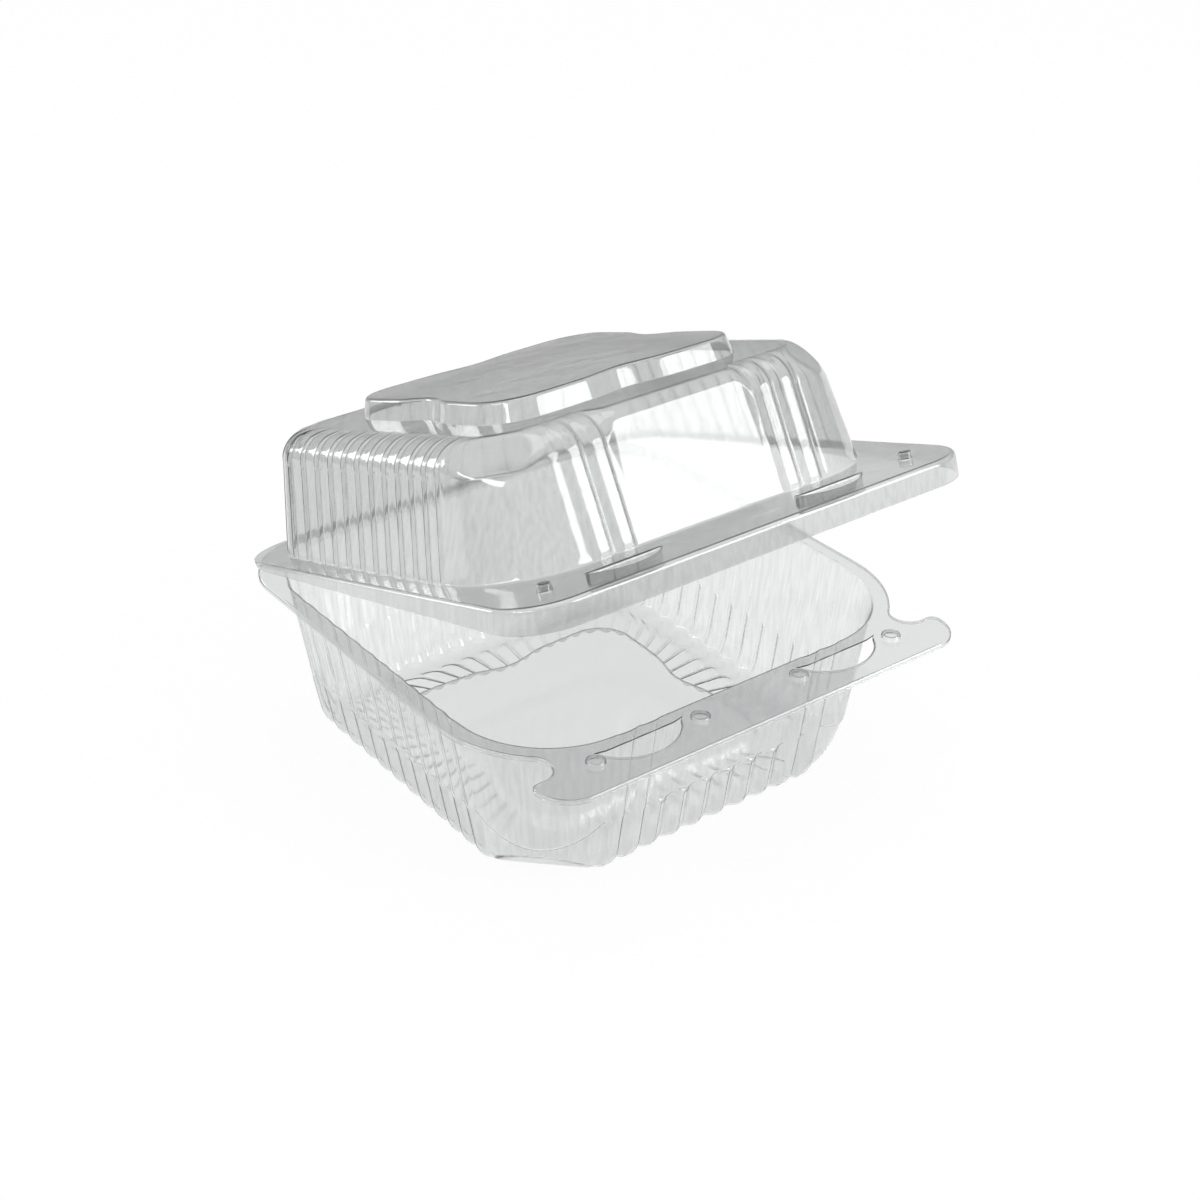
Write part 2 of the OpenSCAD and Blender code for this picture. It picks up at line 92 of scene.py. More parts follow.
def linear(hex_colour: str) -> tuple[float, float, float, float]:
    """Linear colour of an sRGB hex value, by a straight line near black and a power curve above it.

    Args:
        hex_colour: six hex digits after a hash.

    Returns:
        Red, green, blue and an alpha of one, linear.
    """
    srgb = np.array([int(hex_colour[i : i + 2], 16) for i in (1, 3, 5)]) / 255
    low = srgb / 12.92
    high = ((srgb + 0.055) / 1.055) ** 2.4
    return (*np.where(srgb <= 0.04045, low, high).tolist(), 1.0)


def smooth(t: np.ndarray) -> np.ndarray:
    """Smooth step from 0 to 1 as t goes from 0 to 1."""
    t = np.clip(t, 0, 1)
    return t * t * (3 - 2 * t)


def mix(a: np.ndarray, b: np.ndarray, t: np.ndarray) -> np.ndarray:
    """Value that lies the share t of the way from a to b."""
    return a + (b - a) * t


@dataclass(frozen=True)
class BodySizes:
    """Sizes that the tray and the lid share, with counts and shares.

    mouth is half the width of a pan at the rim, back_tighter how much less the radius of its back corners
    is, slot_strip the rim left between the pan and a slot, button_row how far in front of the pan the
    buttons stand, and ridge_share how far the front ridges stand out, in depths of a flute.
    """

    sheet: float = 0.4
    mouth: float = 65.0
    mouth_r: float = 28.0
    back_tighter: float = 5.0
    tray_h: float = 47.0
    rim_w: float = 5.0
    rim_fillet: float = 0.6
    rim_round: float = 1.2
    wall_round: float = 1.0
    rim_back_r: float = 19.5
    tab_reach: float = 12.5
    side_flutes: int = 11
    corner_flutes: int = 4
    front_ridges: int = 2
    window_flutes: int = 6
    flute_d: float = 0.9
    foot_flute_d: float = 1.7
    window_w: float = 46.0
    corner_steps: int = 28
    latch_x: float = 32.5
    slot_l: float = 25.2
    slot_d: float = 7.2
    slot_strip: float = 4.0
    button_row: float = 7.2
    bead_r: float = 0.7
    hinge_clear: float = 0.3
    groove_share: float = 0.2
    ridge_groove_share: float = 0.3
    ridge_share: float = 1.5

    @property
    def rim(self) -> float:
        """Half width of the tray's rim."""
        return self.mouth + self.rim_w

    @property
    def rim_start(self) -> float:
        """How far outside the mouth the pan's own part of the rim starts."""
        return 2 * self.rim_fillet

    @property
    def rim_drop(self) -> float:
        """Height over which the wall turns down from the rim."""
        return 3 * self.rim_fillet

    @property
    def tab_y(self) -> float:
        """Front edge of the tray's tab."""
        return -self.rim - self.tab_reach

    @property
    def curl_in(self) -> float:
        """Inner radius of the lid's curl round the bead."""
        return self.bead_r + self.hinge_clear

    @property
    def hinge(self) -> tuple[float, float]:
        """Place of the hinge line from front to back, and its height."""
        return self.rim, self.tray_h - self.sheet / 2

    @property
    def hinge_half(self) -> float:
        """Half of the hinge's straight length."""
        return self.rim - self.rim_back_r

    @property
    def shift(self) -> float:
        """Shift that puts the middle of the whole box on the origin."""
        return -(self.rim + self.curl_in + self.sheet + self.tab_y) / 2

    @property
    def window_share(self) -> float:
        """Share of the front between the corners that the window takes."""
        return self.window_w / 2 / (self.mouth - self.mouth_r)

    @property
    def slot_r(self) -> float:
        """Radius of the circle that a latch slot is a slice of."""
        return ((self.slot_l / 2) ** 2 + self.slot_d**2) / (2 * self.slot_d)


@dataclass(frozen=True)
class Stations:
    """Places round a body, one value of each kind per place.

    anchor is the share of the way to the corner centres, normal the direction outward, wall and foot how
    far a flute stands out there, dip the dip of the panels, facet the cosine to the middle of a corner's
    facet, or zero, bay how far round a smooth front corner the place lies, as a bump from 0 to 1, and pane
    whether it lies in the front window.
    """

    anchor: np.ndarray
    normal: np.ndarray
    wall: np.ndarray
    foot: np.ndarray
    dip: np.ndarray
    facet: np.ndarray
    bay: np.ndarray
    pane: np.ndarray


def flute_run(count: int, groove: float) -> np.ndarray:
    """A run of flutes, each of which rises by a smooth step, stays flat and falls by another.

    Args:
        count: flutes in the run.
        groove: share of a flute that each flank of a groove takes, up to a half for round ribs.

    Returns:
        Rows of place along the run, from 0 to 1, and how far the flute stands out.
    """
    flank = np.linspace(0, groove, FLANK_STEPS)
    flat = np.linspace(groove, 1 - groove, FLAT_STEPS)[1:-1]
    phase = np.concatenate([flank, flat, 1 - flank[:0:-1]])
    place = (np.arange(count)[:, None] + phase) / count
    out = smooth(phase / groove) * smooth((1 - phase) / groove)
    return np.column_stack([place.ravel(), np.tile(out, count)])


def plain_run(count: int) -> np.ndarray:
    """A smooth run of count places, with no flute."""
    place = np.arange(count) / count
    return np.column_stack([place, np.zeros(count)])


def squeezed(run: np.ndarray, start: float, end: float) -> np.ndarray:
    """A run moved into the stretch from start to end of another."""
    return np.column_stack([mix(start, end, run[:, 0]), run[:, 1:]])


def doubled(run: np.ndarray, wall: float = 1.0) -> np.ndarray:
    """A run with a wall flute, at the given share, and a foot flute of its own."""
    return np.column_stack([run[:, 0], run[:, 1] * wall, run[:, 1]])


def front_run(sizes: BodySizes, window: Window) -> np.ndarray:
    """The front: ridges, the flat window, ridges.

    Args:
        sizes: the shared sizes.
        window: whether the foot under the window is fluted.

    Returns:
        Rows of place, wall flute and foot flute.
    """
    edge = (1 - sizes.window_share) / 2
    ridges = doubled(flute_run(sizes.front_ridges, sizes.ridge_groove_share), sizes.ridge_share)
    panes = {
        Window.PLAIN: doubled(plain_run(sizes.corner_steps)),
        Window.FLUTED_FOOT: doubled(flute_run(sizes.window_flutes, sizes.groove_share), 0.0),
    }
    parts = [(ridges, 0, edge), (panes[window], edge, 1 - edge), (ridges, 1 - edge, 1)]
    return np.concatenate([squeezed(*part) for part in parts])


def dip_at(t: np.ndarray) -> np.ndarray:
    """Dip of a panel's side along it: a raised cosine on its middle over a fainter, longer one."""
    middle = np.clip((t - 0.5) / DIP_SHARE + 0.5, 0, 1)
    return mix(1 - np.cos(2 * math.pi * middle), 1 - np.cos(2 * math.pi * t), DIP_WIDE_SHARE) / 2


def turned(v: np.ndarray, quarters: int) -> np.ndarray:
    """Plan vectors after that many quarter turns to the left."""
    c, s = round(math.cos(quarters * math.pi / 2)), round(math.sin(quarters * math.pi / 2))
    return v @ np.array([[c, s], [-s, c]])


def side_part(run: np.ndarray, quarters: int, share: float) -> np.ndarray:
    """Stations along one side.

    Args:
        run: rows of place, wall flute and foot flute.
        quarters: quarter turns from the front.
        share: share of the front that the window takes.

    Returns:
        Rows of anchor, normal, wall, foot, dip, facet, bay and pane.
    """
    t, none = run[:, 0], np.zeros(len(run))
    anchor = turned(np.column_stack([2 * t - 1, none - 1]), quarters)
    normal = turned(np.column_stack([none, none - 1]), quarters)
    pane = smooth((share - np.abs(2 * t - 1)) / PANE_EDGE) * (quarters == 0)
    return np.column_stack([anchor, normal, run[:, 1:], dip_at(t), none, none, pane])


def corner_part(run: np.ndarray, quarters: int, smooth_front: bool) -> np.ndarray:
    """Stations round the corner that follows a side, on a quarter circle.

    Args:
        run: rows of place, wall flute and foot flute.
        quarters: quarter turns from the front.
        smooth_front: whether this is a smooth front corner, with a facet and a bay.

    Returns:
        Rows of anchor, normal, wall, foot, dip, facet, bay and pane.
    """
    t, none = run[:, 0], np.zeros(len(run))
    angle = t * math.pi / 2
    anchor = turned(np.column_stack([none + 1, none - 1]), quarters)
    normal = turned(np.column_stack([np.sin(angle), -np.cos(angle)]), quarters)
    facet = np.cos(angle - math.pi / 4) * smooth_front
    bay = np.sin(2 * angle) * smooth_front
    return np.column_stack([anchor, normal, run[:, 1:], none, facet, bay, none])


def plan(sizes: BodySizes, window: Window) -> Stations:
    """All the stations round a body, side by side and corner by corner, from the front on.

    Args:
        sizes: the shared sizes.
        window: whether the foot under the window is fluted.

    Returns:
        The stations, anticlockwise as seen from above.
    """
    side = doubled(flute_run(sizes.side_flutes, sizes.groove_share))
    back = doubled(flute_run(sizes.corner_flutes, sizes.groove_share))
    front = doubled(plain_run(sizes.corner_steps))
    rows = np.concatenate([
        side_part(front_run(sizes, window), 0, sizes.window_share),
        corner_part(front, 0, True),
        side_part(side, 1, sizes.window_share),
        corner_part(back, 1, False),
        side_part(side, 2, sizes.window_share),
        corner_part(back, 2, False),
        side_part(side, 3, sizes.window_share),
        corner_part(front, 3, True),
    ])
    return Stations(rows[:, 0:2], rows[:, 2:4], *rows[:, 4:].T)


@dataclass(frozen=True)
class Ring:
    """A ring of a body: where it lies and how much of each feature it has.

    inset is how far it lies in from the mouth, r the radius of its corners, tighter how much less that is
    at the back, wall, foot and dip how deep its flutes and dips are, and lift how far the foot's flutes
    raise it. sink is how far it is lowered in the bays of the front corners, push and rise how far it is
    moved out and up over the window, round the reach of the fillet at it, and rows how many rows lead up
    to it.
    """

    inset: float
    z: float
    r: float
    tighter: float = 0.0
    wall: float = 0.0
    foot: float = 0.0
    dip: float = 0.0
    lift: float = 0.0
    sink: float = 0.0
    push: float = 0.0
    rise: float = 0.0
    round: float = 0.0
    rows: int = 1

    def channels(self) -> list[float]:
        """The values that vary along a profile."""
        place = [self.inset, self.z, self.r, self.tighter]
        return [*place, self.wall, self.foot, self.dip, self.lift, self.sink, self.push, self.rise]


def rounded_profile(rings: list[Ring], steps: int) -> np.ndarray:
    """A profile through the rings with a fillet at each, as a quadratic curve between two points beside it.

    Args:
        rings: the rings from the rim to the floor or the platform.
        steps: rows on each fillet.

    Returns:
        Rows of channels.
    """
    values = np.array([ring.channels() for ring in rings])
    spans = np.linalg.norm(np.diff(values[:, :2], axis=0), axis=1)
    t = np.linspace(0, 1, steps)[:, None]
    rows = [values[:1]]
    for k, ring in enumerate(rings[1:-1], start=1):
        if not ring.round:
            rows.append(values[k : k + 1])
            continue
        reach = min(ring.round, FILLET_SHARE * spans[k - 1], FILLET_SHARE * spans[k])
        before = mix(values[k], values[k - 1], reach / spans[k - 1])
        after = mix(values[k], values[k + 1], reach / spans[k])
        between = np.linspace(0, 1, ring.rows + 1)[1:-1, None]
        rows.append(mix(rows[-1][-1], before, between))
        rows.append((1 - t) ** 2 * before + 2 * t * (1 - t) * values[k] + t**2 * after)
    between = np.linspace(0, 1, rings[-1].rows + 1)[1:, None]
    rows.append(mix(rows[-1][-1], values[-1], between))
    return np.concatenate(rows)


def pan_grid(
    sizes: BodySizes, stations: Stations, rows: np.ndarray, facet: tuple[float, float, float], lean: float
) -> np.ndarray:
    """A pan's points: each row's outline is a square with round corners, pushed out by the flutes.

    A place lies on a line through its corner centre, at the corner's radius plus the flutes less the dips,
    and no further than the facet's plane, with a round where the two meet. Rows with a deep dip belong to
    a panel, which has no facets.

    Args:
        sizes: the shared sizes.
        stations: the places round the body.
        rows: the profile's rows of channels.
        facet: distance of the facets from the corner centres at height zero, its change with height, and
            the reach of the round at their edges.
        lean: how far the wall leans in for each millimetre that a bay sinks.

    Returns:
        Points by row and place.
    """
    inset, z, r, tighter, wall, foot, dip, lift, sink, push, rise = rows.T[:, :, None]
    ax, ay = stations.anchor.T
    nx, ny = stations.normal.T
    radius = r - tighter * (1 + ay) / 2
    centre = sizes.mouth - inset - radius
    height = z + lift * stations.foot - sink * stations.bay + rise * stations.pane
    out = radius + wall * stations.wall + foot * stations.foot - dip * stations.dip
    out = out - sink * lean * stations.bay + push * stations.pane
    start, growth, blend = facet
    reach = (start + growth * height) / np.maximum(stations.facet, FACET_LEAST)
    near = np.clip(1 - np.abs(out - reach) / blend, 0, 1)
    cut = np.minimum(out, reach) - blend / 4 * near**2
    out = np.where((stations.facet > 0) & (dip < PANEL_DIP), cut, out)
    return np.stack([ax * centre + nx * out, ay * centre + ny * out, height], axis=-1)


@dataclass(frozen=True)
class Outline:
    """A line in plan: its points, anticlockwise round the part, and the directions outward at them."""

    points: np.ndarray
    normals: np.ndarray

    def moved(self, out: float) -> np.ndarray:
        """The points, moved outward."""
        return self.points + out * self.normals


def arc(
    centre: tuple[float, float], r: float, start: float, end: float, steps: int, hollow: bool = False
) -> Outline:
    """A round stretch of an outline, with its normals towards the centre where it is hollow.

    Args:
        centre: centre of the circle.
        r: its radius.
        start: angle at the start, in degrees.
        end: angle at the end, in degrees.
        steps: points on it.
        hollow: whether the part lies outside the circle.

    Returns:
        The stretch.
    """
    angle = np.radians(np.linspace(start, end, steps))
    way = np.column_stack([np.cos(angle), np.sin(angle)])
    return Outline(np.array(centre) + r * way, -way if hollow else way)


def both_halves(right: list[Outline]) -> Outline:
    """A whole outline from its right half, with the left half mirrored before it.

    Args:
        right: the stretches of the right half, from the front to the back.

    Returns:
        The outline, from the back on the left round the front to the back on the right.
    """
    points = np.concatenate([part.points for part in right])
    normals = np.concatenate([part.normals for part in right])
    mirror = np.array([-1, 1])
    return Outline(
        np.concatenate([points[::-1] * mirror, points]),
        np.concatenate([normals[::-1] * mirror, normals]),
    )


def strip(outline: Outline, outs: np.ndarray, drops: np.ndarray, z: float) -> np.ndarray:
    """A strip along an outline: a profile of ways out and drops carried along it.

    Args:
        outline: the line.
        outs: how far out each row lies.
        drops: how far down each row lies, by row or by row and point.
        z: height that the drops are counted from.

    Returns:
        Points by row and place.
    """
    flat = outline.points + outs[:, None, None] * outline.normals
    drops = np.broadcast_to(drops.reshape(len(outs), -1), flat.shape[:2])
    return np.dstack([flat, z - drops])


def bend(r: float, steps: int) -> tuple[np.ndarray, np.ndarray]:
    """A quarter-round bend from flat to straight down, as ways out, ending at zero, and drops."""
    angle = np.linspace(0, math.pi / 2, steps)
    return r * (np.sin(angle) - 1), r * (1 - np.cos(angle))


def slice_outline(sizes: BodySizes, x: float, inset: float) -> np.ndarray:
    """A latch slice, a circle cut straight along its back: points on the round side, then on the straight.

    Args:
        sizes: the shared sizes.
        x: place of the latch from side to side.
        inset: how far the slice is drawn in.

    Returns:
        The points of the loop.
    """
    slot_y = -sizes.mouth - sizes.slot_strip
    centre = np.array([x, slot_y - sizes.slot_d + sizes.slot_r])
    r, back = sizes.slot_r - inset, sizes.slot_d - sizes.slot_r - inset
    half = math.sqrt(r * r - back * back)
    end = math.atan2(back, half)
    angle = np.linspace(-math.pi - end, end, SLICE_STEPS)
    round_side = centre + r * np.column_stack([np.cos(angle), np.sin(angle)])
    t = np.linspace(0, 1, SLICE_BACK_STEPS)[1:-1, None]
    return np.concatenate([round_side, mix(round_side[-1], round_side[0], t)])


def inside(points: np.ndarray, loops: list[np.ndarray]) -> np.ndarray:
    """Whether points lie inside an odd number of loops, by the crossings of a ray to the right.

    Args:
        points: the points in plan.
        loops: the loops, each closed from its last point to its first.

    Returns:
        True or false for each point.
    """
    start = np.concatenate(loops)
    end = np.concatenate([np.roll(loop, -1, axis=0) for loop in loops])
    x, y = points[:, :1], points[:, 1:]
    spans = (start[:, 1] > y) != (end[:, 1] > y)
    rise = np.where(spans, end[:, 1] - start[:, 1], 1.0)
    cross = start[:, 0] + (y - start[:, 1]) * (end[:, 0] - start[:, 0]) / rise
    return (spans & (x < cross)).sum(axis=1) % 2 == 1


class SheetMesh:
    """The middle surface of a formed sheet, gathered from grids and flat fills and welded into one mesh."""

    def __init__(self) -> None:
        """Starts with no points."""
        self.points: list[np.ndarray] = []
        self.faces: list[list[int]] = []
        self.count = 0

    def add(self, points: np.ndarray, faces: np.ndarray) -> None:
        """Adds points and the faces on them.

        Args:
            points: the points.
            faces: rows of the points' numbers, counted from the first of them.
        """
        self.points.append(points)
        self.faces += (faces + self.count).tolist()
        self.count += len(points)

    def add_grid(self, grid: np.ndarray, closed: bool) -> None:
        """Adds a grid of points, with a face between each four neighbours.

        Args:
            grid: points by row and place.
            closed: whether each row is joined end to start.
        """
        m, n = grid.shape[:2]
        index = np.arange(m * n).reshape(m, n)
        if closed:
            index = np.column_stack([index, index[:, :1]])
        corners = [index[:-1, :-1], index[:-1, 1:], index[1:, 1:], index[1:, :-1]]
        self.add(grid.reshape(-1, 3), np.stack(corners, axis=-1).reshape(-1, 4))

    def add_roll(self, profile: np.ndarray, ends: np.ndarray) -> None:
        """Adds a profile carried straight from side to side.

        Args:
            profile: rows of the place from front to back and the height.
            ends: where it starts and ends from side to side.
        """
        rows = [np.column_stack([np.full(len(profile), x), profile]) for x in ends]
        self.add_grid(np.stack(rows, axis=1), False)

    def add_fill(self, loops: list[np.ndarray], z: float) -> None:
        """Adds a flat fill of the area inside the first loop and outside the others, as triangles.

        Args:
            loops: the loops in plan.
            z: height of the fill.
        """
        flat = np.concatenate(loops)
        first = np.cumsum([0, *(len(loop) for loop in loops)])
        ends = [np.roll(np.arange(a, b), -1) for a, b in zip(first, first[1:])]
        edges = np.column_stack([np.arange(len(flat)), np.concatenate(ends)])
        corners = [Vector(p) for p in flat.tolist()]
        made = geometry.delaunay_2d_cdt(corners, edges.tolist(), [], 0, FILL_WELD)
        points, faces = np.array([tuple(p) for p in made[0]]), np.array(made[2])
        kept = faces[inside(points[faces].mean(axis=1), loops)]
        self.add(np.column_stack([points, np.full(len(points), z)]), kept)

    def build(self, name: str, place: np.ndarray, thickness: float) -> bpy.types.Object:
        """Makes the object: welds the surfaces, then gives them the sheet's thickness.

        Args:
            name: the piece's name.
            place: matrix from the sheet's own millimetres to the frame, in metres.
            thickness: the sheet's thickness, in millimetres.

        Returns:
            The object, at the origin.
        """
        flat = np.concatenate(self.points)
        placed = flat @ place[:3, :3].T + place[:3, 3]
        mesh = bpy.data.meshes.new(name)
        mesh.from_pydata(placed.tolist(), [], self.faces)
        work = bmesh.new()
        work.from_mesh(mesh)
        bmesh.ops.remove_doubles(work, verts=work.verts, dist=WELD * MM)
        loose = [v for v in work.verts if not v.link_faces]
        bmesh.ops.delete(work, geom=loose, context="VERTS")
        bmesh.ops.recalc_face_normals(work, faces=work.faces)
        work.to_mesh(mesh)
        work.free()
        piece = bpy.data.objects.new(name, mesh)
        bpy.context.scene.collection.objects.link(piece)
        wall = piece.modifiers.new("sheet", "SOLIDIFY")
        wall.thickness = thickness * MM
        wall.offset = 0
        wall.use_even_offset = True
        formed = piece.evaluated_get(bpy.context.evaluated_depsgraph_get())
        piece.data = bpy.data.meshes.new_from_object(formed)
        piece.modifiers.clear()
        piece.data.name = name
        piece.data.shade_smooth()
        piece.data.set_sharp_from_angle(angle=math.radians(CUT_EDGE))
        even = piece.modifiers.new("flat_faces", "WEIGHTED_NORMAL")
        even.keep_sharp = True
        return piece


@dataclass(frozen=True)
class Button:
    """A round button, pressed up from a rim.

    r is the radius of its wall, h its height, fillet the radius at its foot and its head, and crown how far
    its top rises halfway in and in the middle.
    """

    r: float
    h: float
    fillet: float = 0.45
    crown: tuple[float, float] = (0.04, 0.06)
    steps: int = 32

    def add(self, sheet: SheetMesh, centre: tuple[float, float], z: float) -> np.ndarray:
        """Adds the button: a profile of radii and heights turned about an upright axis.

        Args:
            sheet: the sheet that it is part of.
            centre: its centre in plan.
            z: height of the rim.

        Returns:
            Its loop in the rim.
        """
        outs, drops = bend(self.fillet, FILLET_STEPS)
        radii = np.concatenate([self.r - outs, self.r - drops, [self.r / 2, 0]])
        heights = z + np.concatenate([drops, self.h + outs, self.h + np.array(self.crown)])
        angle = np.linspace(0, 2 * math.pi, self.steps, endpoint=False)
        x = centre[0] + radii[:, None] * np.cos(angle)
        y = centre[1] + radii[:, None] * np.sin(angle)
        button = np.dstack([x, y, np.broadcast_to(heights[:, None], x.shape)])
        sheet.add_grid(button, True)
        return button[0, :, :2]


def placed_at(sizes: BodySizes, angle: float) -> np.ndarray:
    """Matrix from a part as it lies shut, in millimetres, to its place in the frame, in metres.

    Args:
        sizes: the shared sizes.
        angle: how far the part is turned open about the hinge line, in degrees.

    Returns:
        The matrix, with four rows.
    """
    y, z = sizes.hinge
    c, s = math.cos(math.radians(-angle)), math.sin(math.radians(-angle))
    turn = np.array([[1, 0, 0], [0, c, -s], [0, s, c]])
    axis = np.array([0, y, z])
    matrix = np.eye(4)
    matrix[:3, :3] = turn * MM
    matrix[:3, 3] = (axis - turn @ axis + [0, sizes.shift, 0]) * MM
    return matrix


def add_node(
    tree: bpy.types.NodeTree, kind: str, inputs: dict[str | int, object] | None = None, **settings: object
) -> bpy.types.Node:
    """Adds a node to a tree, with its settings and links.

    Args:
        tree: the tree.
        kind: the node's type.
        inputs: for its sockets, by name or place, a value or another node's socket to link.
        settings: its properties.

    Returns:
        The node.
    """
    node = tree.nodes.new(kind)
    for name, value in settings.items():
        setattr(node, name, value)
    for key, value in (inputs or {}).items():
        if isinstance(value, bpy.types.NodeSocket):
            tree.links.new(value, node.inputs[key])
        else:
            node.inputs[key].default_value = value
    return node


@dataclass(frozen=True)
class ClearSheet:
    """Clear PET sheet, thermoformed, with the slight waviness and draw lines of a formed wall, and a colour
    of its own for the flat faces, which on the tray is a darker painted shade.
    """

    name: str = "clear_pet_tray"
    colour: str = "#F1F2F2"
    line_colour: str = "#E7E9E9"
    flat_shade_colour: str = "#E6E7E7"
    draw_line_mm: float = 1.1
    draw_line_stretch: float = 30.0
    # Painted shade: faces that point up or down get this even tint, which on the tray is darker than the
    # walls.
    draw_line_span: tuple[float, float] = (0.4, 0.65)
    flat_shade_span: tuple[float, float] = (0.4, 0.8)
    ior: float = 1.57
    roughness: float = 0.07
    wave_mm: float = 9.0
    wave_depth_mm: float = 0.4
    wave_strength: float = 0.12

    def build(self) -> bpy.types.Material:
        """Makes the material: a clear, almost colourless sheet whose reflections waver a little.

        Returns:
            The material.
        """
        # Drawn plastic has a smooth skin: it shows what lies behind it and mirrors the lamps as soft white
        # bars along the flutes, which waver because the hot sheet was stretched unevenly.
        material = bpy.data.materials.new(self.name)
        material.use_nodes = True
        tree = material.node_tree
        shader = tree.nodes["Principled BSDF"]
        shader.inputs["Roughness"].default_value = self.roughness
        shader.inputs["IOR"].default_value = self.ior
        shader.inputs["Transmission Weight"].default_value = 1.0
        place = add_node(tree, "ShaderNodeTexCoord")
        wave = add_node(tree, "ShaderNodeTexNoise", {
            "Vector": place.outputs["Object"], "Scale": 1 / (self.wave_mm * MM), "Detail": 1.0,
        })
        bump = add_node(tree, "ShaderNodeBump", {
            "Height": wave.outputs["Fac"],
            "Strength": self.wave_strength,
            "Distance": self.wave_depth_mm * MM,
        })
        tree.links.new(bump.outputs["Normal"], shader.inputs["Normal"])
        tree.links.new(self.build_colour(tree, place), shader.inputs["Base Color"])
        return material

    def build_colour(self, tree: bpy.types.NodeTree, place: bpy.types.Node) -> bpy.types.NodeSocket:
        """Makes the tint: noise stretched upward as draw lines on the walls, and on the flat faces no lines
        but an even tint, which on the tray is darker as painted shade.

        Args:
            tree: the material's tree.
            place: its texture coordinates.

        Returns:
            The socket with the colour.
        """
        across = 1 / (self.draw_line_mm * MM)
        scale = (across, across, across / self.draw_line_stretch)
        drawn = add_node(tree, "ShaderNodeMapping", {"Vector": place.outputs["Object"], "Scale": scale})
        lines = add_node(tree, "ShaderNodeTexNoise", {
            "Vector": drawn.outputs[0], "Scale": 1.0, "Detail": 2.0,
        })
        ramp = add_node(tree, "ShaderNodeValToRGB", {0: lines.outputs["Fac"]})
        ends = ramp.color_ramp.elements
        ends[0].position, ends[1].position = self.draw_line_span
        ends[0].color, ends[1].color = linear(self.colour), linear(self.line_colour)
        # Painted shade: by how far a face points up or down, the flat faces get their own even tint instead
        # of the draw lines.
        facing = add_node(tree, "ShaderNodeSeparateXYZ", {0: place.outputs["Normal"]})
        level = add_node(tree, "ShaderNodeMath", {0: facing.outputs["Z"]}, operation="ABSOLUTE")
        flat = add_node(tree, "ShaderNodeMapRange", {
            "Value": level.outputs[0], "From Min": self.flat_shade_span[0], "From Max": self.flat_shade_span[1],
        })
        tint = add_node(tree, "ShaderNodeMix", {
            0: flat.outputs[0], MIX_A: ramp.outputs[0], MIX_B: linear(self.flat_shade_colour),
        }, data_type="RGBA")
        return tint.outputs[MIX_RESULT]


@dataclass
class FormedPart:
    """A part drawn down from the sheet: its finish, and the sizes that both parts have."""

    finish: ClearSheet = ClearSheet()
    sizes: BodySizes = BodySizes()

    def wall_ring(self, inset: float, z: float, **more: float) -> Ring:
        """A ring of the walls, whose corners share their centres."""
        return Ring(inset, z, self.sizes.mouth_r - inset, self.sizes.back_tighter, **more)

    def dress(self, piece: bpy.types.Object) -> None:
        """Gives a piece the sheet's finish."""
        piece.data.materials.append(self.finish.build())


